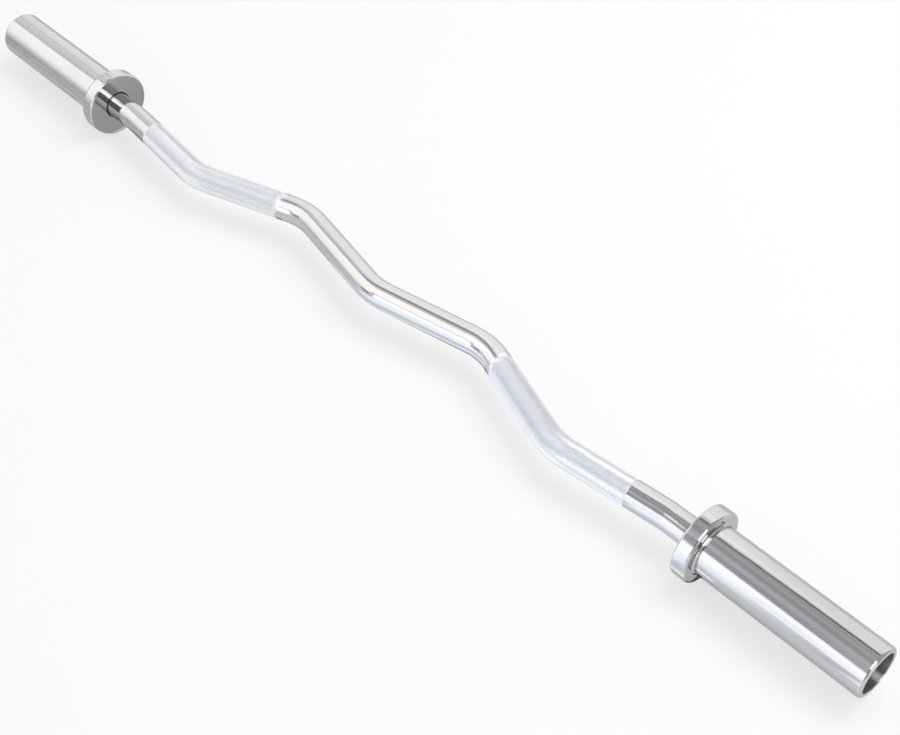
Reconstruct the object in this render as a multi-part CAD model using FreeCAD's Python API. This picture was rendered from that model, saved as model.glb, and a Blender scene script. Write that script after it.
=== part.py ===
import FreeCAD
import Part

import math
import os

# Olympic EZ curl bar: a solid cambered shaft with a rotating plate sleeve on each end.
# X runs along the sleeves' common axis, the bends lie flat in the XY plane, and Z is up.
# The origin is on the floor under the middle of the bar, which lies on its two collars.
# All sizes are in millimetres and degrees.

# Shaft
SHAFT_DIAMETER = 28.0
SHOULDER_HEIGHT = 1.5
SHOULDER_CHAMFER = 0.8
JOURNAL_CHAMFER = 1.0

# Camber of one half, from the collar to the middle: runs along X, angles to the X axis
LEAD_IN_LENGTH = 33.0
WIDE_GRIP_RUN = 123.0
CLOSE_GRIP_RUN = 127.0
CENTRE_RUN = 131.0
WIDE_GRIP_ANGLE = 5.8
CLOSE_GRIP_ANGLE = 18.8
CENTRE_ANGLE = 11.4
BEND_RADIUS = 70.0

# Sleeve tube, with a turned spigot at its inner end and a rounded open mouth at its outer end
SLEEVE_DIAMETER = 50.0
SLEEVE_WALL = 5.0
SLEEVE_LENGTH = 170.0
SPIGOT_STEP = 0.5
MOUTH_ROUND = 3.0
MOUTH_INNER_CHAMFER = 0.6

# Inner collar, which holds the tube's spigot in a socket and stops the plates.
# A short tapered neck on its outer face meets the tube's shoulder.
COLLAR_FLANGE = 11.0
COLLAR_THICKNESS = 16.0
COLLAR_WEB = 6.0
COLLAR_BORE_CLEARANCE = 0.7
COLLAR_BORE_CHAMFER = 0.8
COLLAR_INNER_ROUND = 2.0
COLLAR_OUTER_ROUND = 3.0
COLLAR_NECK = 1.6

# Bearing stack between the shaft's journal and the sleeve
BUSHING_LENGTH = 30.0
BUSHING_LEAST_WALL = 7.0
BUSHING_CHAMFER = 0.8
GREASE_GROOVE_WIDTH = 4.0
GREASE_GROOVE_DEPTH = 1.0
THRUST_WASHER_THICKNESS = 2.0
THRUST_WASHER_CLEARANCE = 0.5
THRUST_WASHER_CHAMFER = 0.25
RUNNING_CLEARANCE = 0.06
AXIAL_PLAY = 0.3

# Retaining bolt and washers, which hold the sleeve on at its outer end
MOUTH_DEPTH = 12.0
BOLT_DIAMETER = 12.0
BOLT_LENGTH = 35.0
BOLT_HEAD_FLATS = 19.0
BOLT_HEAD_HEIGHT = 7.5
BOLT_POINT_CHAMFER = 1.2
BOLT_CLEARANCE = 0.1
BOLT_HOLE_SPARE_DEPTH = 5.0
DRILL_POINT_ANGLE = 118.0
HEAD_CHAMFER_ANGLE = 30.0
END_WASHER_CLEARANCE = 2.0
END_WASHER_THICKNESS = 4.0
END_WASHER_CHAMFER = 0.8
SPRING_WASHER_SECTION = 4.0
SPRING_WASHER_THICKNESS = 3.0
SPRING_WASHER_CHAMFER = 0.3
SPRING_WASHER_GAP = 1.4
SPRING_WASHER_LEAN = 25.0

# Radii
shaft_radius = SHAFT_DIAMETER / 2
sleeve_radius = SLEEVE_DIAMETER / 2
spigot_radius = sleeve_radius - SPIGOT_STEP
sleeve_bore = sleeve_radius - SLEEVE_WALL
bushing_limit = sleeve_bore - BUSHING_LEAST_WALL - RUNNING_CLEARANCE
journal_radius = min(shaft_radius - SHOULDER_HEIGHT, bushing_limit)
collar_radius = sleeve_radius + COLLAR_FLANGE
collar_bore = shaft_radius + COLLAR_BORE_CLEARANCE
bolt_radius = BOLT_DIAMETER / 2
axis_height = collar_radius

# Stations along X on the right half, from the middle outwards
collar_inner = LEAD_IN_LENGTH + WIDE_GRIP_RUN + CLOSE_GRIP_RUN + CENTRE_RUN
web_face = collar_inner + COLLAR_WEB
collar_outer = collar_inner + COLLAR_THICKNESS
neck_end = collar_outer + COLLAR_NECK
shoulder = web_face + AXIAL_PLAY
thrust_face = shoulder + THRUST_WASHER_THICKNESS
inner_bushing_start = thrust_face + AXIAL_PLAY
sleeve_end = collar_outer + SLEEVE_LENGTH
head_top = sleeve_end - MOUTH_DEPTH
head_seat = head_top - BOLT_HEAD_HEIGHT
spring_washer_seat = head_seat - SPRING_WASHER_THICKNESS
journal_end = spring_washer_seat - END_WASHER_THICKNESS
outer_bushing_start = journal_end - AXIAL_PLAY - BUSHING_LENGTH

ALONG_X = FreeCAD.Vector(1, 0, 0)
UP = FreeCAD.Vector(0, 0, 1)
ORIGIN = FreeCAD.Vector(0, 0, 0)
BAR_MIDDLE = FreeCAD.Vector(0, 0, axis_height)


def rounded_edges(points, radii, closed):
    """Straight edges through the points, with a tangent arc at each corner whose radius isn't zero."""
    count = len(points)
    arrivals = list(points)
    departures = list(points)
    arcs = {}
    for i in range(0 if closed else 1, count if closed else count - 1):
        if radii[i] > 0:
            back = (points[i - 1] - points[i]).normalize()
            ahead = (points[(i + 1) % count] - points[i]).normalize()
            half_turn = (math.pi - back.getAngle(ahead)) / 2
            reach = radii[i] * math.tan(half_turn)
            inset = radii[i] / math.cos(half_turn) - radii[i]
            crest = points[i] + (back + ahead).normalize() * inset
            arrivals[i] = points[i] + back * reach
            departures[i] = points[i] + ahead * reach
            arcs[i] = Part.Arc(arrivals[i], crest, departures[i]).toShape()
    edges = []
    for i in range(count if closed else count - 1):
        if i in arcs:
            edges.append(arcs[i])
        edges.append(Part.LineSegment(departures[i], arrivals[(i + 1) % count]).toShape())
    return edges


def turned(corners):
    """Solid of revolution about the sleeve axis from (x, radius) or (x, radius, corner rounding) corners."""
    points = [FreeCAD.Vector(corner[0], 0, axis_height + corner[1]) for corner in corners]
    radii = [corner[2] if len(corner) == 3 else 0.0 for corner in corners]
    face = Part.Face(Part.Wire(rounded_edges(points, radii, closed=True)))
    return face.revolve(BAR_MIDDLE, ALONG_X, 360)


def ring(start, end, bore, radius, bore_chamfer, rim_chamfer):
    """Turned ring with its bore and rim edges chamfered at both ends."""
    return turned([
        (start, bore + bore_chamfer),
        (start + bore_chamfer, bore),
        (end - bore_chamfer, bore),
        (end, bore + bore_chamfer),
        (end, radius - rim_chamfer),
        (end - rim_chamfer, radius),
        (start + rim_chamfer, radius),
        (start, radius - rim_chamfer),
    ])


def on_left(shape):
    """The same piece on the other end of the bar: half a turn about the vertical through the middle."""
    return shape.rotated(ORIGIN, UP, 180)


def both_ends(shape):
    return [shape, on_left(shape)]


def camber_points():
    """Corners of the shaft's centre line, from the left shoulder to the right one."""
    x = collar_inner - LEAD_IN_LENGTH
    y = 0.0
    right_half = [(shoulder, y), (x, y)]
    for run, angle in (
        (WIDE_GRIP_RUN, -WIDE_GRIP_ANGLE),
        (CLOSE_GRIP_RUN, CLOSE_GRIP_ANGLE),
        (CENTRE_RUN, -CENTRE_ANGLE),
    ):
        x -= run
        y += run * math.tan(math.radians(angle))
        right_half.append((x, y))
    left_half = [(-x, y) for x, y in right_half[:-1]]
    return [FreeCAD.Vector(x, y, axis_height) for x, y in left_half + right_half[::-1]]


def make_shaft():
    """Solid bar swept round its bends, with a turned journal and a bolt hole at each end."""
    points = camber_points()
    path = Part.Wire(rounded_edges(points, [BEND_RADIUS] * len(points), closed=False))
    section = Part.Wire(Part.makeCircle(shaft_radius, points[0], ALONG_X))
    bar = path.makePipeShell([section], True, False)
    for corner in both_ends(shoulder_corner()):
        bar = bar.cut(corner)
    for journal in both_ends(make_journal()):
        bar = bar.fuse(journal)
    for hole in both_ends(bolt_hole()):
        bar = bar.cut(hole)
    return bar.removeSplitter()


def shoulder_corner():
    """What is chamfered off the shaft at its shoulder."""
    return turned([
        (shoulder, shaft_radius - SHOULDER_CHAMFER),
        (shoulder, shaft_radius + SHOULDER_CHAMFER),
        (shoulder - 2 * SHOULDER_CHAMFER, shaft_radius + SHOULDER_CHAMFER),
    ])


def make_journal():
    return turned([
        (shoulder, 0.0),
        (journal_end, 0.0),
        (journal_end, journal_radius - JOURNAL_CHAMFER),
        (journal_end - JOURNAL_CHAMFER, journal_radius),
        (shoulder, journal_radius),
    ])


def bolt_hole():
    radius = bolt_radius + BOLT_CLEARANCE
    bottom = head_seat - BOLT_LENGTH - BOLT_HOLE_SPARE_DEPTH
    drill_point = radius / math.tan(math.radians(DRILL_POINT_ANGLE / 2))
    return turned([
        (journal_end, 0.0),
        (journal_end, radius),
        (bottom, radius),
        (bottom - drill_point, 0.0),
    ])


def make_sleeve_tube():
    rounding = min(MOUTH_ROUND, SLEEVE_WALL - 2 * MOUTH_INNER_CHAMFER)
    return turned([
        (web_face, sleeve_bore),
        (web_face, spigot_radius),
        (neck_end, spigot_radius),
        (neck_end, sleeve_radius),
        (sleeve_end, sleeve_radius, rounding),
        (sleeve_end, sleeve_bore + MOUTH_INNER_CHAMFER),
        (sleeve_end - MOUTH_INNER_CHAMFER, sleeve_bore),
    ])


def make_inner_collar():
    return turned([
        (collar_inner, collar_bore + COLLAR_BORE_CHAMFER),
        (collar_inner + COLLAR_BORE_CHAMFER, collar_bore),
        (web_face, collar_bore),
        (web_face, spigot_radius),
        (neck_end, spigot_radius),
        (neck_end, sleeve_radius),
        (collar_outer, sleeve_radius + COLLAR_NECK),
        (collar_outer, collar_radius, COLLAR_OUTER_ROUND),
        (collar_inner, collar_radius, COLLAR_INNER_ROUND),
    ])


def make_bushing(start):
    """Bronze bushing pressed into the tube, with a grease groove round the middle of its bore."""
    end = start + BUSHING_LENGTH
    middle = start + BUSHING_LENGTH / 2
    bore = journal_radius + RUNNING_CLEARANCE
    blank = ring(start, end, bore, sleeve_bore, BUSHING_CHAMFER, BUSHING_CHAMFER)
    groove = turned([
        (middle - GREASE_GROOVE_WIDTH / 2, 0.0),
        (middle - GREASE_GROOVE_WIDTH / 2, bore),
        (middle, bore + GREASE_GROOVE_DEPTH),
        (middle + GREASE_GROOVE_WIDTH / 2, bore),
        (middle + GREASE_GROOVE_WIDTH / 2, 0.0),
    ])
    return blank.cut(groove)


def make_thrust_washer():
    bore = journal_radius + RUNNING_CLEARANCE
    rim = sleeve_bore - THRUST_WASHER_CLEARANCE
    return ring(shoulder, thrust_face, bore, rim, THRUST_WASHER_CHAMFER, THRUST_WASHER_CHAMFER)


def make_end_washer():
    bore = bolt_radius + BOLT_CLEARANCE
    rim = sleeve_bore - END_WASHER_CLEARANCE
    return ring(journal_end, spring_washer_seat, bore, rim, END_WASHER_CHAMFER / 2, END_WASHER_CHAMFER)


def make_spring_washer():
    """Split lock washer, clamped flat, with its slanting gap at the top."""
    bore = bolt_radius + BOLT_CLEARANCE
    rim = bore + SPRING_WASHER_SECTION
    whole = ring(spring_washer_seat, head_seat, bore, rim, SPRING_WASHER_CHAMFER, SPRING_WASHER_CHAMFER)
    middle = FreeCAD.Vector((spring_washer_seat + head_seat) / 2, 0, axis_height)
    length = SPRING_WASHER_THICKNESS + 2 * SPRING_WASHER_SECTION
    corner = middle - FreeCAD.Vector(length / 2, SPRING_WASHER_GAP / 2, 0)
    gap = Part.makeBox(length, SPRING_WASHER_GAP, rim + SPRING_WASHER_SECTION, corner)
    gap.rotate(middle, UP, SPRING_WASHER_LEAN)
    return whole.cut(gap)


def hexagon(x, across_flats):
    """Hexagonal face square to the sleeve axis, with a corner at the top."""
    corner_radius = across_flats / math.sqrt(3)
    points = []
    for i in range(7):
        angle = math.radians(60 * i)
        across = corner_radius * math.sin(angle)
        height = corner_radius * math.cos(angle)
        points.append(FreeCAD.Vector(x, across, axis_height + height))
    return Part.Face(Part.makePolygon(points))


def make_retaining_bolt():
    """Hexagon bolt: its head's outer corners are turned off, and its point is chamfered."""
    prism = hexagon(head_seat, BOLT_HEAD_FLATS).extrude(ALONG_X * BOLT_HEAD_HEIGHT)
    flat_radius = BOLT_HEAD_FLATS / 2
    corner_radius = BOLT_HEAD_FLATS / math.sqrt(3)
    drop = (corner_radius - flat_radius) * math.tan(math.radians(HEAD_CHAMFER_ANGLE))
    crown = turned([
        (head_seat, 0.0),
        (head_seat, corner_radius),
        (head_top - drop, corner_radius),
        (head_top, flat_radius),
        (head_top, 0.0),
    ])
    point = head_seat - BOLT_LENGTH
    shank = turned([
        (head_seat, 0.0),
        (head_seat, bolt_radius),
        (point + BOLT_POINT_CHAMFER, bolt_radius),
        (point, bolt_radius - BOLT_POINT_CHAMFER),
        (point, 0.0),
    ])
    return prism.common(crown).fuse(shank).removeSplitter()


def make_end_pieces():
    """The pieces of one end, as they stand on the right."""
    return {
        "inner_collar": make_inner_collar(),
        "sleeve_tube": make_sleeve_tube(),
        "inner_bushing": make_bushing(inner_bushing_start),
        "outer_bushing": make_bushing(outer_bushing_start),
        "thrust_washer": make_thrust_washer(),
        "end_washer": make_end_washer(),
        "spring_washer": make_spring_washer(),
        "retaining_bolt": make_retaining_bolt(),
    }


def main():
    nodes = {"shaft": make_shaft()}
    for name, shape in make_end_pieces().items():
        nodes["right_" + name] = shape
        nodes["left_" + name] = on_left(shape)
    os.makedirs("parts", exist_ok=True)
    for name, shape in nodes.items():
        shape.exportStep("parts/" + name + ".step")


main()
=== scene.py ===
import math

import bpy
from mathutils import Matrix, Vector


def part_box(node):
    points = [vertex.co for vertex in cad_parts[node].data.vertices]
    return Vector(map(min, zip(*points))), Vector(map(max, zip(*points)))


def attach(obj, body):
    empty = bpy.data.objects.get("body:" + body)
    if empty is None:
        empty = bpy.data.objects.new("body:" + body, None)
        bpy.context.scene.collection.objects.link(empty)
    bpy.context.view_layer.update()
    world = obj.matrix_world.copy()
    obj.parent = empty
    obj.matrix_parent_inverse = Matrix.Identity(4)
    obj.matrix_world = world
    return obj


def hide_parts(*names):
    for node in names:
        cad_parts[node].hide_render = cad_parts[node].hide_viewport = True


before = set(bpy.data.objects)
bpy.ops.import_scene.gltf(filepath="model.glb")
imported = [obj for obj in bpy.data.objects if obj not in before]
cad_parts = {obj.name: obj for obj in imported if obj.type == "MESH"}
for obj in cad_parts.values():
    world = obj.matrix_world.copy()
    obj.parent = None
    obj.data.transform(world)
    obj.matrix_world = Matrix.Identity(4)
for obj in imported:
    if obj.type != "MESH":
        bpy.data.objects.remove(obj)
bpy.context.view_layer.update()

# An EZ curl bar: a bent, knurled steel shaft with a chromed plate sleeve on each end, on a white floor.
# All sizes are in metres and degrees, in the frame's own axes: X along the sleeves, Y to the back, Z up.

# Shaft
SHAFT_RADIUS = 0.014
JOURNAL_RADIUS = 0.0125
JOURNAL_CHAMFER = 0.001
SHOULDER_CHAMFER = 0.0008
BOLT_HOLE_RADIUS = 0.0061
BOLT_HOLE_CHAMFER = 0.0004
BOLT_HOLE_SPARE_DEPTH = 0.005
DRILL_POINT_DEPTH = 0.0037

# Camber of one half, from the collar to the middle: runs along X, angles to the X axis
LEAD_IN_LENGTH = 0.033
WIDE_GRIP_RUN = 0.123
CLOSE_GRIP_RUN = 0.127
CENTRE_RUN = 0.131
WIDE_GRIP_ANGLE = 5.8
CLOSE_GRIP_ANGLE = 18.8
CENTRE_ANGLE = 11.4
BEND_RADIUS = 0.070
BEND_STEP = 1.5

# Knurling, from and to these distances along the shaft from its middle.
# Its frosting comes up over the length KNURL_FROST, and then its diamonds over KNURL_RISE.
# A smooth ring lies KNURL_LEAD outside each border.
KNURL_START = 0.155
KNURL_END = 0.352
KNURL_DIAMONDS = 72
KNURL_HELIX = 30.0
KNURL_CREST = 0.00010
KNURL_VALLEY = 0.00030
KNURL_LEAD = 0.0006
KNURL_FROST = 0.005
KNURL_RISE = 0.006

# Sleeve tube and inner collar
SLEEVE_WALL = 0.005
SPIGOT_STEP = 0.0005
MOUTH_ROUND = 0.003
MOUTH_INNER_CHAMFER = 0.0006
COLLAR_BORE_RADIUS = 0.0147
COLLAR_BORE_CHAMFER = 0.0008
COLLAR_NECK = 0.0016
COLLAR_INNER_ROUND = 0.002
COLLAR_OUTER_ROUND = 0.003
EDGE_ROUND = 0.0003
SLIGHT_ROUND = 0.00015
TURNED_SEGMENTS = 176
ROUND_STEP = 7.5
EDGE_SUPPORT = 0.00006
SHARP_ANGLE = 35.0

# Camera, fitted to the photograph
CAMERA_PLACE = (0.8560, -0.7269, 1.1079)
CAMERA_AIM = (0.1389, -0.0218, 0.0360)
CAMERA_ROLL = 0.646
CAMERA_LENS = 63.57
CAMERA_SHIFT = (-0.0034, 0.0137)

# Colours, linear
CHROME = (0.56, 0.56, 0.57)
CHROME_EDGE = (0.70, 0.70, 0.71)
SATIN_CHROME = (0.75, 0.77, 0.81)
SATIN_EDGE = (0.20, 0.20, 0.21)
# Bore colours: a grease film varies between the two, and both are set darker than bare steel as painted
# shade inside the tube.
BORE_FILM_AND_SHADE_COLOURS = ((0.20, 0.195, 0.19), (0.36, 0.355, 0.35))
BRONZE_COLOURS = ((0.33, 0.19, 0.075), (0.58, 0.37, 0.16))
ZINC_COLOURS = ((0.44, 0.46, 0.50), (0.60, 0.58, 0.53))
WHITE = (1.0, 1.0, 1.0)
CREAM = (1.0, 0.98, 0.94)
COOL = (0.985, 0.98, 1.0)
MAUVE = (1.0, 0.97, 0.99)
BROWN = (1.0, 0.95, 0.91)
PURPLE = (0.95, 0.89, 1.08)
SKY = (0.86, 0.915, 1.0)

# Finishes: low and high shares of a colour, and low and high roughness.
# The noise gives the low one at the first value of NOISE_SPREAD and the high one at the second.
NOISE_SPREAD = (0.3, 0.7)
CHROME_SHARES = (0.97, 1.03)
CHROME_ROUGHNESS = (0.05, 0.10)
SATIN_SHARES = (0.92, 1.04)
SATIN_ROUGHNESS = (0.35, 0.43)
SATIN_START_ROUGHNESS = 0.08
BORE_ROUGHNESS = (0.34, 0.42)
BORE_STREAK = 0.9
BORE_STREAK_TURN = 0.25
BRONZE_ROUGHNESS = (0.24, 0.42)
ZINC_ROUGHNESS = (0.22, 0.38)

# Finishes: noise in features to the metre, the same all ways or along X, Y and Z
CHROME_CLOUDS = 14
CHROME_HAZE = 160
CHROME_WAVES = 70
CHROME_PITS = 420
SHAFT_POLISH = (25, 500, 500)
SLEEVE_POLISH = (900, 25, 25)
SATIN_GRAIN = 450
SATIN_HAZE = 900
BORE_FILM = 120
BORE_TURNING = (2600, 40, 40)
BRONZE_STAINS = 110
BRONZE_TURNING = (4000, 60, 60)
ZINC_BLOOM = 90
ZINC_GRAIN = 1500

# Finishes: heights of their bumps
WAVE_HEIGHT = 0.00006
PIT_HEIGHT = 0.000027
POLISH_HEIGHT = 0.000009
FROST_HEIGHT = 0.00001
TURNING_HEIGHT = 0.00001
ZINC_HEIGHT = 0.000012

# Floor and light
FLOOR_SIZE = 30.0
FLOOR_COLOUR = (0.95, 0.95, 0.955)
FLOOR_CLOUDS = 3
FLOOR_CLOUD_SHARE = 0.995
FLOOR_WHITE_SHARE = 0.6
AMBIENT = 0.66
LAMP_PLACE = (0.7, 1.1, 2.6)
LAMP_SIZE = 2.0
LAMP_POWER = 36.0

# Studio cards: the planes that they lie in, and how far each layer lies from the one behind it
CEILING_HEIGHT = 1.0
FRONT_WALL = -2.2
LEFT_WALL = -2.6
RIGHT_WALL = 1.3
BACK_WALL = 2.5
WALL_GAP = 0.005
FLOOR_CARD_HEIGHT = 0.003
FLOOR_CARD_GAP = 0.001

# Studio cards: edges that several of them share
CEILING_FRONT = -1.45
BEAM_LEFT = -0.75
BEAM_RIGHT = 0.1
BEAM_BACK = 0.25
END_FRONT = -0.82
END_RIGHT = 0.50
FRONT_BOX_LEFT = -1.2
CORNER_HEIGHT = 0.85
SKIRT_HEIGHT = 0.35
LEFT_BOX_BACK = -0.3
BACK_LEFT = -9.0
BACK_RIGHT = 3.0
BACK_LINES = (0.75, 1.3, 2.1)
BACK_LINE_SHARE = 1.05

# Places and radii taken from the frame
tube_low, tube_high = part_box("right_sleeve_tube")
collar_low, collar_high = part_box("right_inner_collar")
axis_height = (tube_low.z + tube_high.z) / 2
sleeve_radius = (tube_high.z - tube_low.z) / 2
collar_radius = (collar_high.z - collar_low.z) / 2
sleeve_end = tube_high.x
web_face = tube_low.x
collar_inner = collar_low.x
neck_end = collar_high.x
collar_outer = neck_end - COLLAR_NECK
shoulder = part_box("right_thrust_washer")[0].x
journal_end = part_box("shaft")[1].x
bolt_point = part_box("right_retaining_bolt")[0].x

# Radii and counts worked out from the sizes above
bore_radius = sleeve_radius - SLEEVE_WALL
spigot_radius = sleeve_radius - SPIGOT_STEP
knurl_columns = 2 * KNURL_DIAMONDS


def new_piece(name, points, faces):
    mesh = bpy.data.meshes.new(name)
    mesh.from_pydata(points, [], faces)
    mesh.validate()
    piece = bpy.data.objects.new(name, mesh)
    bpy.context.scene.collection.objects.link(piece)
    return piece


def shade_smooth(mesh):
    """Smooth shading that breaks at edges sharper than SHARP_ANGLE."""
    mesh.polygons.foreach_set("use_smooth", [True] * len(mesh.polygons))
    mesh.set_sharp_from_angle(angle=math.radians(SHARP_ANGLE))


def joined_rings(first, second, columns):
    """Quads between two rings of points, given by the numbers of their first points."""
    quads = []
    for j in range(columns):
        k = (j + 1) % columns
        quads.append((first + j, first + k, second + k, second + j))
    return quads


# Turned pieces


def rounded_corner(before, corner, after, radius):
    """Points along a tangent arc in the corner, with a support point a little way off at each end."""
    back = (before - corner).normalized()
    ahead = (after - corner).normalized()
    turn = math.pi - back.angle(ahead)
    reach = radius * math.tan(turn / 2)
    start = corner + back * reach
    end = corner + ahead * reach
    centre = corner + (back + ahead).normalized() * (radius / math.cos(turn / 2))
    steps = max(2, math.ceil(math.degrees(turn) / ROUND_STEP))
    points = [start + back * EDGE_SUPPORT]
    for i in range(steps + 1):
        share = i / steps
        arm = (start - centre).lerp(end - centre, share).normalized() * radius
        points.append(centre + arm)
    points.append(end + ahead * EDGE_SUPPORT)
    return points


def rounded_outline(corners):
    """Closed outline through (x, radius, corner rounding) corners."""
    places = [Vector((x, radius)) for x, radius, rounding in corners]
    outline = []
    for i, corner in enumerate(corners):
        rounding = corner[2]
        if rounding > 0:
            outline += rounded_corner(places[i - 1], places[i], places[(i + 1) % len(places)], rounding)
        else:
            outline.append(places[i])
    return outline


def turned_piece(name, corners):
    """Ring turned about the sleeve axis from its outline on the right end."""
    outline = rounded_outline(corners)
    points = []
    for place in outline:
        for j in range(TURNED_SEGMENTS):
            angle = 2 * math.pi * j / TURNED_SEGMENTS
            across = place.y * math.cos(angle)
            height = axis_height + place.y * math.sin(angle)
            points.append((place.x, across, height))
    faces = []
    for i in range(len(outline)):
        following = (i + 1) % len(outline)
        faces += joined_rings(following * TURNED_SEGMENTS, i * TURNED_SEGMENTS, TURNED_SEGMENTS)
    piece = new_piece(name, points, faces)
    shade_smooth(piece.data)
    return piece


def tube_corners():
    """The tube's outline on the right end: its bore, spigot, shoulder, outside and rounded mouth."""
    return [
        (web_face, bore_radius, SLIGHT_ROUND),
        (web_face, spigot_radius, SLIGHT_ROUND),
        (neck_end, spigot_radius, 0.0),
        (neck_end, sleeve_radius, SLIGHT_ROUND),
        (sleeve_end, sleeve_radius, MOUTH_ROUND),
        (sleeve_end, bore_radius + MOUTH_INNER_CHAMFER, SLIGHT_ROUND),
        (sleeve_end - MOUTH_INNER_CHAMFER, bore_radius, EDGE_ROUND),
    ]


def collar_corners():
    """The collar's outline on the right end: its bore, the tube's socket, its neck and its rim."""
    return [
        (collar_inner, COLLAR_BORE_RADIUS + COLLAR_BORE_CHAMFER, SLIGHT_ROUND),
        (collar_inner + COLLAR_BORE_CHAMFER, COLLAR_BORE_RADIUS, EDGE_ROUND),
        (web_face, COLLAR_BORE_RADIUS, 0.0),
        (web_face, spigot_radius, 0.0),
        (neck_end, spigot_radius, 0.0),
        (neck_end, sleeve_radius, SLIGHT_ROUND),
        (collar_outer, sleeve_radius + COLLAR_NECK, EDGE_ROUND),
        (collar_outer, collar_radius, COLLAR_OUTER_ROUND),
        (collar_inner, collar_radius, COLLAR_INNER_ROUND),
    ]


def move_to_left(piece):
    """Moves a piece from the right end to the left: half a turn about the vertical through the middle."""
    piece.data.transform(Matrix.Rotation(math.pi, 4, "Z"))


def mark_bore(mesh):
    """The second material for the faces of the tube's bore, which isn't plated."""
    limit = bore_radius + SLIGHT_ROUND
    for face in mesh.polygons:
        if math.hypot(face.center.y, face.center.z - axis_height) < limit:
            face.material_index = 1


def build_sleeve(side, chrome, bore_steel):
    """The tube and collar of one end, in place of their CAD nodes."""
    for node, corners in (("sleeve_tube", tube_corners()), ("inner_collar", collar_corners())):
        piece = turned_piece("chromed_" + side + "_" + node, corners)
        if side == "left":
            move_to_left(piece)
        piece.data.materials.append(chrome)
        if node == "sleeve_tube":
            piece.data.materials.append(bore_steel)
            mark_bore(piece.data)
        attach(piece, side + "_sleeve")
        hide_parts(side + "_" + node)


# Shaft


def camber_corners():
    """Corners of the shaft's centre line as (x, y), from its left end to its right end."""
    x = collar_inner - LEAD_IN_LENGTH
    y = 0.0
    right_half = [(journal_end, y), (x, y)]
    for run, angle in (
        (WIDE_GRIP_RUN, -WIDE_GRIP_ANGLE),
        (CLOSE_GRIP_RUN, CLOSE_GRIP_ANGLE),
        (CENTRE_RUN, -CENTRE_ANGLE),
    ):
        x -= run
        y += run * math.tan(math.radians(angle))
        right_half.append((x, y))
    left_half = [(-x, y) for x, y in right_half[:-1]]
    return [Vector(corner) for corner in left_half + right_half[::-1]]


def bent_path(corners):
    """The centre line as straight runs and tangent arcs: (start point, heading, bend per metre, length)."""
    headings = []
    for here, there in zip(corners, corners[1:]):
        headings.append(math.atan2(there.y - here.y, there.x - here.x))
    pieces = []
    start = corners[0]
    for i, heading in enumerate(headings):
        direction = Vector((math.cos(heading), math.sin(heading)))
        if i + 1 < len(headings):
            turn = headings[i + 1] - heading
            reach = BEND_RADIUS * math.tan(abs(turn) / 2)
            end = corners[i + 1] - direction * reach
            pieces.append((start, heading, 0.0, (end - start).length))
            bend = math.copysign(1 / BEND_RADIUS, turn)
            pieces.append((end, heading, bend, abs(turn) * BEND_RADIUS))
            following = Vector((math.cos(headings[i + 1]), math.sin(headings[i + 1])))
            start = corners[i + 1] + following * reach
        else:
            pieces.append((start, heading, 0.0, (corners[-1] - start).length))
    return pieces


def path_length(path):
    return sum(length for start, heading, bend, length in path)


def place_on_path(path, distance):
    """Point and heading at a distance along the path from its start."""
    for start, heading, bend, length in path:
        if distance <= length or (start, heading, bend, length) == path[-1]:
            break
        distance -= length
    later = heading + bend * distance
    if bend:
        step = Vector((math.sin(later) - math.sin(heading), math.cos(heading) - math.cos(later))) / bend
    else:
        step = Vector((math.cos(heading), math.sin(heading))) * distance
    return start + step, later


def bend_distances(path):
    """Distances along the path at which its bends start, end, and are stepped."""
    distances = []
    travelled = 0.0
    for start, heading, bend, length in path:
        if bend:
            steps = max(2, math.ceil(math.degrees(length * abs(bend)) / BEND_STEP))
            distances += [travelled + length * i / steps for i in range(steps + 1)]
        travelled += length
    return distances


def end_stations(half_length):
    """(distance from the middle, radius) at one end, from the shaft's shoulder to the bottom of its hole."""
    def along(x):
        return half_length - (journal_end - x)

    hole_bottom = bolt_point - BOLT_HOLE_SPARE_DEPTH
    return [
        (along(shoulder - SHOULDER_CHAMFER), SHAFT_RADIUS),
        (along(shoulder), SHAFT_RADIUS - SHOULDER_CHAMFER),
        (along(shoulder), JOURNAL_RADIUS),
        (along(journal_end - JOURNAL_CHAMFER), JOURNAL_RADIUS),
        (along(journal_end), JOURNAL_RADIUS - JOURNAL_CHAMFER),
        (along(journal_end), BOLT_HOLE_RADIUS + BOLT_HOLE_CHAMFER),
        (along(journal_end - BOLT_HOLE_CHAMFER), BOLT_HOLE_RADIUS),
        (along(hole_bottom), BOLT_HOLE_RADIUS),
    ]


def knurl_distances():
    """Distances from the middle of the rows of knurl points, from one border to the other."""
    column_pitch = 2 * math.pi * SHAFT_RADIUS / knurl_columns
    row_pitch = column_pitch / math.tan(math.radians(KNURL_HELIX))
    rows = round((KNURL_END - KNURL_START) / row_pitch)
    return [KNURL_START + (KNURL_END - KNURL_START) * i / rows for i in range(rows + 1)]


def shaft_stations(path, half_length):
    """Rings of the shaft from left to right: (distance from the middle, radius, knurl row or None)."""
    right = []
    for travelled in bend_distances(path):
        distance = travelled - half_length
        in_knurl = KNURL_START - KNURL_LEAD < distance < KNURL_END + KNURL_LEAD
        if distance > 0 and not in_knurl:
            right.append((distance, SHAFT_RADIUS, None))
    right.append((KNURL_START - KNURL_LEAD, SHAFT_RADIUS, None))
    right.append((KNURL_END + KNURL_LEAD, SHAFT_RADIUS, None))
    knurl = knurl_distances()
    for row, distance in enumerate(knurl):
        at_border = row in (0, len(knurl) - 1)
        right.append((distance, SHAFT_RADIUS, None if at_border else row))
    right.sort(key=lambda station: station[0])
    right += [(distance, radius, None) for distance, radius in end_stations(half_length)]
    left = [(-distance, radius, row) for distance, radius, row in reversed(right)]
    return left + [(0.0, SHAFT_RADIUS, None)] + right


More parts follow.
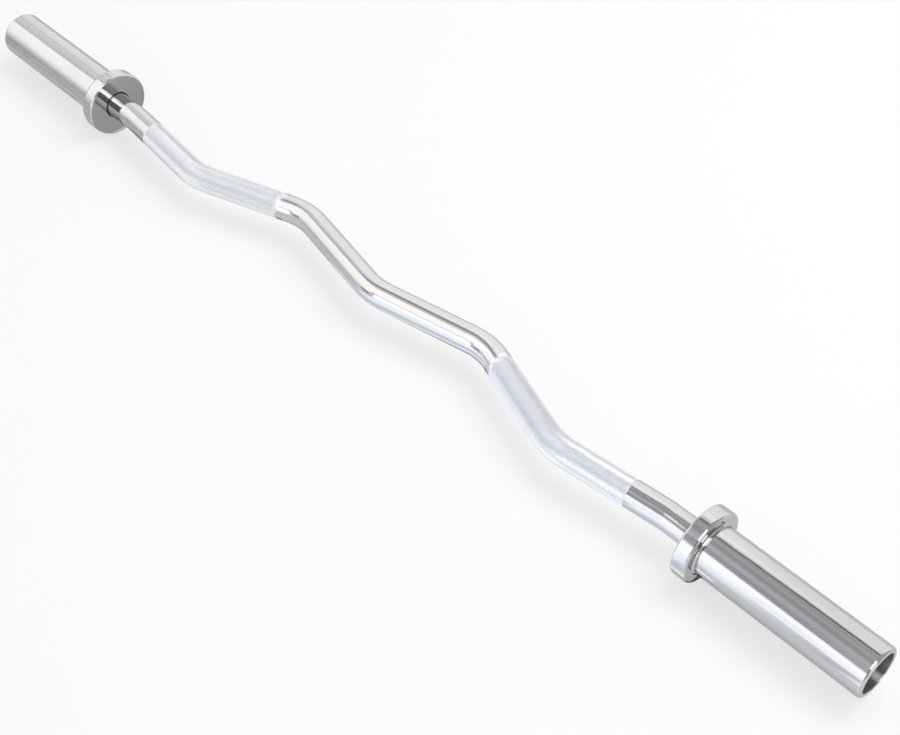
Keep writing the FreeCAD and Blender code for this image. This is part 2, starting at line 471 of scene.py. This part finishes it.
def ring_points(path, half_length, station):
    """Points of one ring, square to the path; a knurl row's points stand up and sink by turns."""
    distance, radius, row = station
    centre, heading = place_on_path(path, distance + half_length)
    points = []
    for j in range(knurl_columns):
        angle = 2 * math.pi * j / knurl_columns
        reach = radius
        if row is not None:
            rise = (abs(distance) - KNURL_START - KNURL_FROST) / KNURL_RISE
            share = min(1.0, max(0.0, rise))
            reach += share * (KNURL_CREST if (row + j) % 2 == 0 else -KNURL_VALLEY)
        across = reach * math.cos(angle)
        x = centre.x - across * math.sin(heading)
        y = centre.y + across * math.cos(heading)
        points.append((x, y, axis_height + reach * math.sin(angle)))
    return points


def knurl_triangles(first, second, row):
    """Triangles between two knurl rows, folded along the grooves, so that each crest is a small pyramid."""
    triangles = []
    for j in range(knurl_columns):
        k = (j + 1) % knurl_columns
        a, b, c, d = first + j, first + k, second + k, second + j
        if (row + j) % 2 == 0:
            triangles += [(a, b, d), (b, c, d)]
        else:
            triangles += [(a, b, c), (a, c, d)]
    return triangles


def is_knurled(station, following):
    """True between two rings of the same grip's knurling, its borders included."""
    middle = abs(station[0] + following[0]) / 2
    return KNURL_START < middle < KNURL_END


def shaft_bands(stations):
    """Faces between the shaft's rings, and for each of them whether it is knurled."""
    faces = []
    knurled = []
    for i, (station, following) in enumerate(zip(stations, stations[1:])):
        first = i * knurl_columns
        second = first + knurl_columns
        cut = is_knurled(station, following)
        if cut:
            row = following[2] + 1 if station[2] is None else station[2]
            band = knurl_triangles(first, second, row)
        else:
            band = joined_rings(first, second, knurl_columns)
        faces += band
        knurled += [cut] * len(band)
    return faces, knurled


def drill_point(rim, tip, end):
    """Triangles of the cone at the bottom of one bolt hole, from its rim's first point and its tip."""
    cone = []
    for j in range(knurl_columns):
        here = rim + j
        there = rim + (j + 1) % knurl_columns
        cone.append((here, there, tip) if end > 0 else (there, here, tip))
    return cone


def build_shaft(chrome, satin):
    """The whole shaft in one closed mesh: smooth bends, journals and bolt holes, and cut knurling."""
    path = bent_path(camber_corners())
    half_length = path_length(path) / 2
    stations = shaft_stations(path, half_length)
    points = []
    for station in stations:
        points += ring_points(path, half_length, station)
    faces, knurled = shaft_bands(stations)
    for end, ring in ((-1, 0), (1, len(stations) - 1)):
        centre = place_on_path(path, stations[ring][0] + half_length)[0]
        points.append((centre.x - end * DRILL_POINT_DEPTH, centre.y, axis_height))
        faces += drill_point(ring * knurl_columns, len(points) - 1, end)
        knurled += [False] * knurl_columns
    piece = new_piece("chromed_shaft", points, faces)
    shade_smooth(piece.data)
    piece.data.materials.append(chrome)
    piece.data.materials.append(satin)
    piece.data.polygons.foreach_set("material_index", [1 if cut else 0 for cut in knurled])
    piece.data.polygons.foreach_set("use_smooth", [not cut for cut in knurled])
    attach(piece, "shaft")
    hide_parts("shaft")


# Materials


def new_metal(name):
    """A metal shader in a new material: (material, nodes, links, shader)."""
    material = bpy.data.materials.new(name)
    material.use_nodes = True
    nodes = material.node_tree.nodes
    shader = nodes["Principled BSDF"]
    shader.inputs["Metallic"].default_value = 1.0
    return material, nodes, material.node_tree.links, shader


def noise(nodes, links, features, detail):
    """Noise in the piece's own coordinates, with this many features to the metre along each axis."""
    place = nodes.new("ShaderNodeTexCoord")
    mapping = nodes.new("ShaderNodeMapping")
    mapping.inputs["Scale"].default_value = features
    texture = nodes.new("ShaderNodeTexNoise")
    texture.inputs["Scale"].default_value = 1.0
    texture.inputs["Detail"].default_value = detail
    links.new(place.outputs["Object"], mapping.inputs["Vector"])
    links.new(mapping.outputs["Vector"], texture.inputs["Vector"])
    return texture.outputs["Fac"]


def even_noise(nodes, links, features, detail):
    return noise(nodes, links, (features, features, features), detail)


def colour_between(nodes, links, factor, low, high):
    ramp = nodes.new("ShaderNodeValToRGB")
    for stop, position, colour in zip(ramp.color_ramp.elements, NOISE_SPREAD, (low, high)):
        stop.position = position
        stop.color = (*colour, 1.0)
    links.new(factor, ramp.inputs["Fac"])
    return ramp.outputs["Color"]


def value_between(nodes, links, factor, low, high):
    spread = nodes.new("ShaderNodeMapRange")
    spread.inputs["From Min"].default_value = NOISE_SPREAD[0]
    spread.inputs["From Max"].default_value = NOISE_SPREAD[1]
    spread.inputs["To Min"].default_value = low
    spread.inputs["To Max"].default_value = high
    links.new(factor, spread.inputs["Value"])
    return spread.outputs["Result"]


def bump(nodes, links, pattern, height, under=None):
    """Bump of this height in metres, on top of another bump where one is given."""
    node = nodes.new("ShaderNodeBump")
    node.inputs["Strength"].default_value = 1.0
    node.inputs["Distance"].default_value = height
    links.new(pattern, node.inputs["Height"])
    if under is not None:
        links.new(under, node.inputs["Normal"])
    return node.outputs["Normal"]


def shaded(colour, share):
    return tuple(channel * share for channel in colour)


def chrome_material(name, polish):
    """Polished chrome plate: faint clouds, uneven gloss, shallow waves and pits, and polishing marks."""
    material, nodes, links, shader = new_metal(name)
    shader.inputs["Specular Tint"].default_value = (*CHROME_EDGE, 1.0)
    clouds = even_noise(nodes, links, CHROME_CLOUDS, detail=3.0)
    low, high = [shaded(CHROME, share) for share in CHROME_SHARES]
    links.new(colour_between(nodes, links, clouds, low, high), shader.inputs["Base Color"])
    haze = even_noise(nodes, links, CHROME_HAZE, detail=4.0)
    links.new(value_between(nodes, links, haze, *CHROME_ROUGHNESS), shader.inputs["Roughness"])
    waves = even_noise(nodes, links, CHROME_WAVES, detail=1.0)
    pits = even_noise(nodes, links, CHROME_PITS, detail=2.0)
    marks = noise(nodes, links, polish, detail=2.0)
    wavy = bump(nodes, links, waves, WAVE_HEIGHT)
    pitted = bump(nodes, links, pits, PIT_HEIGHT, wavy)
    links.new(bump(nodes, links, marks, POLISH_HEIGHT, pitted), shader.inputs["Normal"])
    return material


def bore_material():
    """Bare bored steel inside the tube, with turning marks, a film of old grease, and colours darkened as
    painted shade inside the tube.
    """
    material, nodes, links, shader = new_metal("bored_steel")
    film = even_noise(nodes, links, BORE_FILM, detail=4.0)
    links.new(colour_between(nodes, links, film, *BORE_FILM_AND_SHADE_COLOURS), shader.inputs["Base Color"])
    links.new(value_between(nodes, links, film, *BORE_ROUGHNESS), shader.inputs["Roughness"])
    shader.inputs["Anisotropic"].default_value = BORE_STREAK
    shader.inputs["Anisotropic Rotation"].default_value = BORE_STREAK_TURN
    around = nodes.new("ShaderNodeTangent")
    around.direction_type = "RADIAL"
    around.axis = "X"
    links.new(around.outputs["Tangent"], shader.inputs["Tangent"])
    marks = noise(nodes, links, BORE_TURNING, detail=2.0)
    links.new(bump(nodes, links, marks, TURNING_HEIGHT), shader.inputs["Normal"])
    return material


def knurl_onset(nodes, links):
    """How far the frosting has come up, from none to whole: it starts softly beside the bar's middle."""
    path = bent_path(camber_corners())
    start = path_length(path) / 2 + KNURL_START
    place = nodes.new("ShaderNodeTexCoord")
    parts = nodes.new("ShaderNodeSeparateXYZ")
    links.new(place.outputs["Object"], parts.inputs["Vector"])
    reach = nodes.new("ShaderNodeMath")
    reach.operation = "ABSOLUTE"
    links.new(parts.outputs["X"], reach.inputs[0])
    onset = nodes.new("ShaderNodeMapRange")
    onset.inputs["From Min"].default_value = place_on_path(path, start)[0].x
    onset.inputs["From Max"].default_value = place_on_path(path, start + KNURL_FROST)[0].x
    links.new(reach.outputs["Value"], onset.inputs["Value"])
    return onset.outputs["Result"]


def satin_material():
    """Plated knurling: polished chrome where it starts, which soon turns into a lighter frosted satin."""
    material, nodes, links, shader = new_metal("satin_chrome")
    shader.inputs["Specular Tint"].default_value = (*SATIN_EDGE, 1.0)
    onset = knurl_onset(nodes, links)
    grain = even_noise(nodes, links, SATIN_GRAIN, detail=4.0)
    low, high = [shaded(SATIN_CHROME, share) for share in SATIN_SHARES]
    tint = nodes.new("ShaderNodeMixRGB")
    tint.inputs["Color1"].default_value = (*CHROME, 1.0)
    links.new(onset, tint.inputs["Fac"])
    links.new(colour_between(nodes, links, grain, low, high), tint.inputs["Color2"])
    links.new(tint.outputs["Color"], shader.inputs["Base Color"])
    haze = even_noise(nodes, links, SATIN_HAZE, detail=3.0)
    frost = nodes.new("ShaderNodeMapRange")
    frost.inputs["To Min"].default_value = SATIN_START_ROUGHNESS
    links.new(onset, frost.inputs["Value"])
    links.new(value_between(nodes, links, haze, *SATIN_ROUGHNESS), frost.inputs["To Max"])
    links.new(frost.outputs["Result"], shader.inputs["Roughness"])
    links.new(bump(nodes, links, haze, FROST_HEIGHT), shader.inputs["Normal"])
    return material


def bronze_material():
    """Oiled bearing bronze, with turning marks and darker stains."""
    material, nodes, links, shader = new_metal("bearing_bronze")
    stains = even_noise(nodes, links, BRONZE_STAINS, detail=5.0)
    links.new(colour_between(nodes, links, stains, *BRONZE_COLOURS), shader.inputs["Base Color"])
    links.new(value_between(nodes, links, stains, *BRONZE_ROUGHNESS), shader.inputs["Roughness"])
    marks = noise(nodes, links, BRONZE_TURNING, detail=2.0)
    links.new(bump(nodes, links, marks, TURNING_HEIGHT), shader.inputs["Normal"])
    return material


def zinc_material():
    """Bright zinc plate on steel: a cool grey with a faint yellow and blue bloom."""
    material, nodes, links, shader = new_metal("zinc_plate")
    bloom = even_noise(nodes, links, ZINC_BLOOM, detail=4.0)
    links.new(colour_between(nodes, links, bloom, *ZINC_COLOURS), shader.inputs["Base Color"])
    grain = even_noise(nodes, links, ZINC_GRAIN, detail=3.0)
    links.new(value_between(nodes, links, grain, *ZINC_ROUGHNESS), shader.inputs["Roughness"])
    links.new(bump(nodes, links, grain, ZINC_HEIGHT), shader.inputs["Normal"])
    return material


def finish_cad_nodes(bronze, zinc):
    """New finishes for the CAD nodes that stay: bushings and thrust washers in bronze, the rest in zinc."""
    for side in ("left", "right"):
        for name, material in (
            ("inner_bushing", bronze),
            ("outer_bushing", bronze),
            ("thrust_washer", bronze),
            ("end_washer", zinc),
            ("spring_washer", zinc),
            ("retaining_bolt", zinc),
        ):
            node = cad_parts[side + "_" + name]
            for place in node.material_slots:
                place.material = material


# Stage


def background_share(nodes, links):
    """1 for the rays that show the background: those of the camera, of gloss and through glass."""
    rays = nodes.new("ShaderNodeLightPath")
    sockets = [rays.outputs[name] for name in ("Is Camera Ray", "Is Glossy Ray", "Is Transmission Ray")]
    total = sockets[0]
    for socket in sockets[1:]:
        larger = nodes.new("ShaderNodeMath")
        larger.operation = "MAXIMUM"
        links.new(total, larger.inputs[0])
        links.new(socket, larger.inputs[1])
        total = larger.outputs["Value"]
    return total


def floor_material():
    """White paper, a share of which shows as plain white to the camera and in the chrome."""
    material = bpy.data.materials.new("white_floor")
    material.use_nodes = True
    nodes = material.node_tree.nodes
    links = material.node_tree.links
    shader = nodes["Principled BSDF"]
    shader.inputs["Roughness"].default_value = 1.0
    shader.inputs["Specular IOR Level"].default_value = 0.0
    clouds = even_noise(nodes, links, FLOOR_CLOUDS, detail=2.0)
    tint = colour_between(nodes, links, clouds, shaded(FLOOR_COLOUR, FLOOR_CLOUD_SHARE), FLOOR_COLOUR)
    links.new(tint, shader.inputs["Base Color"])
    share = nodes.new("ShaderNodeMath")
    share.operation = "MULTIPLY"
    share.inputs[1].default_value = FLOOR_WHITE_SHARE
    links.new(background_share(nodes, links), share.inputs[0])
    white = nodes.new("ShaderNodeEmission")
    mixed = nodes.new("ShaderNodeMixShader")
    links.new(share.outputs["Value"], mixed.inputs["Fac"])
    links.new(shader.outputs["BSDF"], mixed.inputs[1])
    links.new(white.outputs["Emission"], mixed.inputs[2])
    links.new(mixed.outputs["Shader"], nodes["Material Output"].inputs["Surface"])
    return material


def build_floor():
    half = FLOOR_SIZE / 2
    corners = [(-half, -half, 0), (half, -half, 0), (half, half, 0), (-half, half, 0)]
    floor = new_piece("floor", corners, [(0, 1, 2, 3)])
    floor.data.materials.append(floor_material())


def build_world():
    """White all round for the camera and in reflections, and a softer white that lights the object."""
    world = bpy.data.worlds.new("studio")
    bpy.context.scene.world = world
    world.use_nodes = True
    nodes = world.node_tree.nodes
    links = world.node_tree.links
    background = nodes["Background"]
    background.inputs["Color"].default_value = (*WHITE, 1.0)
    strength = nodes.new("ShaderNodeMapRange")
    strength.inputs["To Min"].default_value = AMBIENT
    strength.inputs["To Max"].default_value = 1.0
    links.new(background_share(nodes, links), strength.inputs["Value"])
    links.new(strength.outputs["Result"], background.inputs["Strength"])


def build_lamp():
    """One large soft lamp high up behind the bar, left out of reflections, where the cards show."""
    data = bpy.data.lights.new("soft_lamp", "AREA")
    data.shape = "SQUARE"
    data.size = LAMP_SIZE
    data.energy = LAMP_POWER
    lamp = bpy.data.objects.new("soft_lamp", data)
    lamp.location = LAMP_PLACE
    lamp.rotation_mode = "QUATERNION"
    lamp.rotation_quaternion = (-Vector(LAMP_PLACE)).to_track_quat("-Z", "Y")
    lamp.visible_glossy = False
    bpy.context.scene.collection.objects.link(lamp)


def card_material(name, colour, glow, axis):
    """Glow along one axis, as (place, strength) pairs in rising order, which is white at the last place."""
    material = bpy.data.materials.new(name)
    material.use_nodes = True
    nodes = material.node_tree.nodes
    links = material.node_tree.links
    nodes.clear()
    brightest = max(strength for spot, strength in glow)
    first, last = glow[0][0], glow[-1][0]
    place = nodes.new("ShaderNodeTexCoord")
    parts = nodes.new("ShaderNodeSeparateXYZ")
    links.new(place.outputs["Object"], parts.inputs["Vector"])
    along = nodes.new("ShaderNodeMapRange")
    along.inputs["From Min"].default_value = first
    along.inputs["From Max"].default_value = last
    links.new(parts.outputs[axis], along.inputs["Value"])
    ramp = nodes.new("ShaderNodeValToRGB")
    stops = ramp.color_ramp.elements
    for spot, strength in glow[1:-1]:
        stops.new((spot - first) / (last - first))
    tints = [colour] * (len(glow) - 1) + [WHITE]
    for stop, tint, (spot, strength) in zip(stops, tints, glow):
        stop.color = (*shaded(tint, strength / brightest), 1.0)
    links.new(along.outputs["Result"], ramp.inputs["Fac"])
    emission = nodes.new("ShaderNodeEmission")
    emission.inputs["Strength"].default_value = brightest
    links.new(ramp.outputs["Color"], emission.inputs["Color"])
    output = nodes.new("ShaderNodeOutputMaterial")
    links.new(emission.outputs["Emission"], output.inputs["Surface"])
    return material


def build_card(name, corners, colour, glow, axis):
    """A flat studio card that shows in the chrome but not to the camera, and lights nothing else."""
    card = new_piece(name, corners, [tuple(range(len(corners)))])
    card.data.materials.append(card_material(name, colour, glow, axis))
    card.visible_camera = False
    card.visible_diffuse = False
    card.visible_shadow = False
    card.visible_transmission = False


def rectangle(left, right, front, back):
    return [(left, front), (right, front), (right, back), (left, back)]


def ceiling_card(name, corners, layer, colour, glow, axis="X"):
    """A level card under the ceiling; a higher layer hangs below the others and hides them."""
    height = CEILING_HEIGHT - layer * WALL_GAP
    build_card(name, [(x, y, height) for x, y in corners], colour, glow, axis)


def floor_card(name, corners, layer, colour, glow, axis="X"):
    """A level card just above the floor; a higher layer lies above the others and hides them."""
    height = FLOOR_CARD_HEIGHT + layer * FLOOR_CARD_GAP
    build_card(name, [(x, y, height) for x, y in corners], colour, glow, axis)


def wall_card(name, left, right, y, low, high, colour, glow):
    """An upright card that faces along Y and changes along X."""
    corners = [(left, y, low), (right, y, low), (right, y, high), (left, y, high)]
    build_card(name, corners, colour, glow, "X")


def side_card(name, x, front, back, low, high, colour, glow, axis="Z"):
    """An upright card that faces along X."""
    corners = [(x, front, low), (x, back, low), (x, back, high), (x, front, high)]
    build_card(name, corners, colour, glow, axis)


def build_beam_cards():
    """A long softbox above the front of the bar, with grey flags along its back edge and behind it."""
    ceiling_card(
        "softbox_top", rectangle(-4.0, BEAM_RIGHT, CEILING_FRONT, -0.08), 0, CREAM,
        [(-4.0, 1.4), (-2.0, 1.58), (-0.3, 1.75), (-0.05, 1.65), (0.0, 1.4), (BEAM_RIGHT, 1.75)],
    )
    ceiling_card(
        "flag_beam",
        [(BEAM_LEFT, -0.12), (-0.35, -0.34), (BEAM_RIGHT, -0.42),
         (BEAM_RIGHT, BEAM_BACK), (-0.45, BEAM_BACK), (BEAM_LEFT, 0.16)],
        1, MAUVE,
        [(-0.42, 1.5), (-0.3, 1.35), (-0.15, 0.88), (0.0, 0.64), (0.12, 0.52), (BEAM_BACK, 1.5)], "Y",
    )
    ceiling_card(
        "flag_beam_edge",
        [(-1.1, 0.08), (-0.60, 0.10), (BEAM_RIGHT, 0.12), (BEAM_RIGHT, BEAM_BACK), (-0.45, BEAM_BACK)],
        2, BROWN, [(0.08, 0.56), (0.16, 0.28), (BEAM_BACK, 0.56)], "Y",
    )
    ceiling_card(
        "flag_tail",
        [(-2.5, -0.20), (-1.5, -0.17), (-1.3, -0.09), (BEAM_LEFT, -0.12), (BEAM_LEFT, 0.12), (-2.5, -0.02)],
        1, BROWN, [(-2.5, 0.95), (-1.5, 0.95), (BEAM_LEFT, 0.95)],
    )
    ceiling_card(
        "flag_left_line", [(LEFT_WALL, 0.76), (-1.2, 0.46), (-1.2, 0.54), (LEFT_WALL, 0.86)], 1, MAUVE,
        [(LEFT_WALL, 0.8), (-1.2, 0.8)],
    )


def build_end_cards():
    """Grey flags above the right half of the bar, and beyond it a dark flag with a bright strip."""
    ceiling_card(
        "flag_end",
        [(-0.10, END_FRONT), (END_RIGHT, END_FRONT), (END_RIGHT, 0.52), (0.25, 0.43), (0.07, 0.25),
         (0.01, 0.25), (0.0, -0.36), (0.02, -0.52), (0.01, -0.74)],
        3, MAUVE,
        [(END_FRONT, 0.56), (-0.65, 0.70), (-0.45, 0.68), (-0.25, 0.46),
         (-0.14, 0.48), (0.0, 0.62), (0.2, 0.49), (0.5, 0.70)], "Y",
    )
    ceiling_card(
        "flag_end_front",
        [(-0.20, CEILING_FRONT), (END_RIGHT, CEILING_FRONT), (END_RIGHT, END_FRONT),
         (-0.10, END_FRONT), (-0.20, -1.05)],
        3, PURPLE, [(-0.20, 0.76), (-0.08, 0.58), (0.1, 0.53), (END_RIGHT, 0.76)],
    )
    ceiling_card(
        "flag_end_edge",
        [(0.07, 0.17), (0.25, 0.33), (END_RIGHT, 0.42), (END_RIGHT, 0.56), (0.25, 0.47), (0.07, 0.28)],
        4, BROWN, [(0.07, 0.20), (END_RIGHT, 0.20)],
    )
    ceiling_card(
        "flag_end_soft",
        [(0.02, 0.25), (0.25, 0.45), (END_RIGHT, 0.55), (END_RIGHT, 0.72), (0.25, 0.62), (0.02, 0.46)],
        1, MAUVE, [(0.02, 0.98), (END_RIGHT, 0.98)],
    )
    ceiling_card(
        "flag_side", rectangle(END_RIGHT, RIGHT_WALL, CEILING_FRONT, 0.9), 3, MAUVE,
        [(CEILING_FRONT, 0.25), (0.1, 0.4), (0.4, 0.52), (0.9, 0.55)], "Y",
    )
    ceiling_card(
        "strip_side", rectangle(END_RIGHT, RIGHT_WALL, -0.72, 0.0), 4, WHITE,
        [(END_RIGHT, 3.0), (0.9, 3.0), (RIGHT_WALL, 8.0)],
    )


def build_front_cards():
    """Softboxes in front of the bar, and a flag in the left corner under the last of them."""
    wall_card(
        "softbox_front", FRONT_BOX_LEFT, 1.6, FRONT_WALL, 0.0, 1.25, WHITE,
        [(FRONT_BOX_LEFT, 0.8), (-0.95, 0.9), (-0.83, 1.75), (1.6, 1.8)],
    )
    wall_card(
        "softbox_front_low", -0.2, 0.9, FRONT_WALL + 2 * WALL_GAP, 0.0, 0.6, COOL,
        [(-0.2, 1.7), (-0.08, 1.6), (0.9, 1.7)],
    )
    wall_card(
        "softbox_corner", LEFT_WALL, FRONT_BOX_LEFT, FRONT_WALL, CORNER_HEIGHT, 1.6, CREAM,
        [(LEFT_WALL, 1.5), (FRONT_BOX_LEFT, 1.7)],
    )
    wall_card(
        "flag_corner", -1.9, FRONT_BOX_LEFT, FRONT_WALL, 0.1, CORNER_HEIGHT, MAUVE,
        [(-1.9, 0.5), (FRONT_BOX_LEFT, 0.5)],
    )


def build_side_cards():
    """A softbox with a darker skirt on the left, and a dark wall with a small lamp on the right."""
    side_card(
        "softbox_left", LEFT_WALL, FRONT_WALL, LEFT_BOX_BACK, SKIRT_HEIGHT, 2.8, CREAM,
        [(SKIRT_HEIGHT, 1.08), (0.5, 1.2), (0.8, 1.42), (1.1, 1.6), (2.8, 1.62)],
    )
    side_card(
        "skirt_left", LEFT_WALL, FRONT_WALL, LEFT_BOX_BACK, 0.0, SKIRT_HEIGHT, CREAM,
        [(0.0, 0.78), (SKIRT_HEIGHT, 0.95)],
    )
    side_card(
        "flag_right", RIGHT_WALL, -2.4, 1.8, 0.0, 2.6, BROWN,
        [(-2.4, 0.22), (-1.5, 0.24), (-1.2, 0.48), (1.8, 0.58)], "Y",
    )
    side_card(
        "lamp_right", RIGHT_WALL - WALL_GAP, -0.26, 0.10, 0.05, 0.42, WHITE,
        [(0.05, 1.7), (0.42, 1.7)],
    )


def build_back_cards():
    """A bright wall behind the bar, with three narrow darker lines across it."""
    wall_card(
        "wall_back", BACK_LEFT, BACK_RIGHT, BACK_WALL, 0.0, 9.0, COOL,
        [(BACK_LEFT, 1.08), (-6.0, 1.12), (-4.4, 1.23), (-3.4, 1.42),
         (-1.8, 1.47), (-0.7, 1.40), (-0.2, 1.24), (BACK_RIGHT, 1.47)],
    )
    for height in BACK_LINES:
        name = "line_back_" + str(round(height * 100))
        wall_card(
            name, BACK_LEFT, BACK_RIGHT, BACK_WALL - 2 * WALL_GAP, height, height * BACK_LINE_SHARE, WHITE,
            [(BACK_LEFT, 0.95), (BACK_RIGHT, 0.95)],
        )


def build_bounce_cards():
    """Window light on the floor, in front of the middle and the right side and behind the middle."""
    floor_card(
        "bounce_front", rectangle(-0.35, 0.6, FRONT_WALL, -0.09), 0, SKY,
        [(-0.35, 1.0), (-0.1, 1.66), (0.3, 1.86), (0.4, 1.62), (0.47, 1.24), (0.55, 0.9), (0.6, 1.86)],
    )
    floor_card(
        "bounce_near", rectangle(-0.12, 0.405, -0.09, 0.0), 0, SKY,
        [(-0.09, 1.6), (-0.06, 1.3), (-0.03, 1.0), (0.0, 1.6)], "Y",
    )
    floor_card(
        "bounce_collar", rectangle(0.395, 0.44, -0.2, -0.04), 1, SKY,
        [(-0.2, 1.66), (-0.11, 1.5), (-0.08, 1.2), (-0.06, 0.96), (-0.04, 1.66)], "Y",
    )
    floor_card(
        "bounce_back", rectangle(-0.5, 0.08, 0.2, 1.2), 0, SKY,
        [(-0.5, 1.05), (-0.25, 1.3), (0.08, 1.3)],
    )


def build_shade_cards():
    """Shade on the floor, in front of the left sleeve and both grips and beside both collars."""
    floor_card(
        "shade_left", rectangle(-1.3, -0.43, -0.6, -0.05), 0, WHITE,
        [(-1.3, 0.48), (-0.9, 0.54), (-0.65, 0.70), (-0.5, 0.72), (-0.43, 0.72)],
    )
    floor_card(
        "shade_left_collar", rectangle(-0.412, -0.30, -0.045, 0.10), 0, WHITE,
        [(-0.412, 0.50), (-0.37, 0.50), (-0.33, 0.57), (-0.30, 0.62)],
    )
    floor_card(
        "shade_right_collar", rectangle(0.4275, 0.433, -0.028, 0.03), 2, WHITE,
        [(0.4275, 0.06), (0.433, 0.2)],
    )
    floor_card(
        "shade_left_grip", rectangle(-0.31, -0.09, -0.22, 0.0), 1, WHITE,
        [(-0.22, 1.0), (-0.1, 0.82), (0.0, 1.0)], "Y",
    )
    floor_card(
        "shade_right_grip", rectangle(0.15, 0.33, -0.14, 0.0), 1, SKY,
        [(-0.14, 1.3), (-0.06, 0.8), (0.0, 1.3)], "Y",
    )


def build_camera():
    data = bpy.data.cameras.new("camera")
    data.lens = CAMERA_LENS
    data.shift_x, data.shift_y = CAMERA_SHIFT
    camera = bpy.data.objects.new("camera", data)
    place = Vector(CAMERA_PLACE)
    towards = (Vector(CAMERA_AIM) - place).to_track_quat("-Z", "Y").to_matrix().to_4x4()
    roll = Matrix.Rotation(math.radians(CAMERA_ROLL), 4, "Z")
    camera.matrix_world = Matrix.Translation(place) @ towards @ roll
    bpy.context.scene.collection.objects.link(camera)
    bpy.context.scene.camera = camera


def build_bar():
    satin = satin_material()
    build_shaft(chrome_material("drawn_chrome", SHAFT_POLISH), satin)
    turned_chrome = chrome_material("turned_chrome", SLEEVE_POLISH)
    bore_steel = bore_material()
    for side in ("left", "right"):
        build_sleeve(side, turned_chrome, bore_steel)
    finish_cad_nodes(bronze_material(), zinc_material())


def build_studio():
    build_floor()
    build_world()
    build_lamp()
    build_beam_cards()
    build_end_cards()
    build_front_cards()
    build_side_cards()
    build_back_cards()
    build_bounce_cards()
    build_shade_cards()
    build_camera()
    bpy.context.scene.view_settings.view_transform = "Standard"


build_bar()
build_studio()
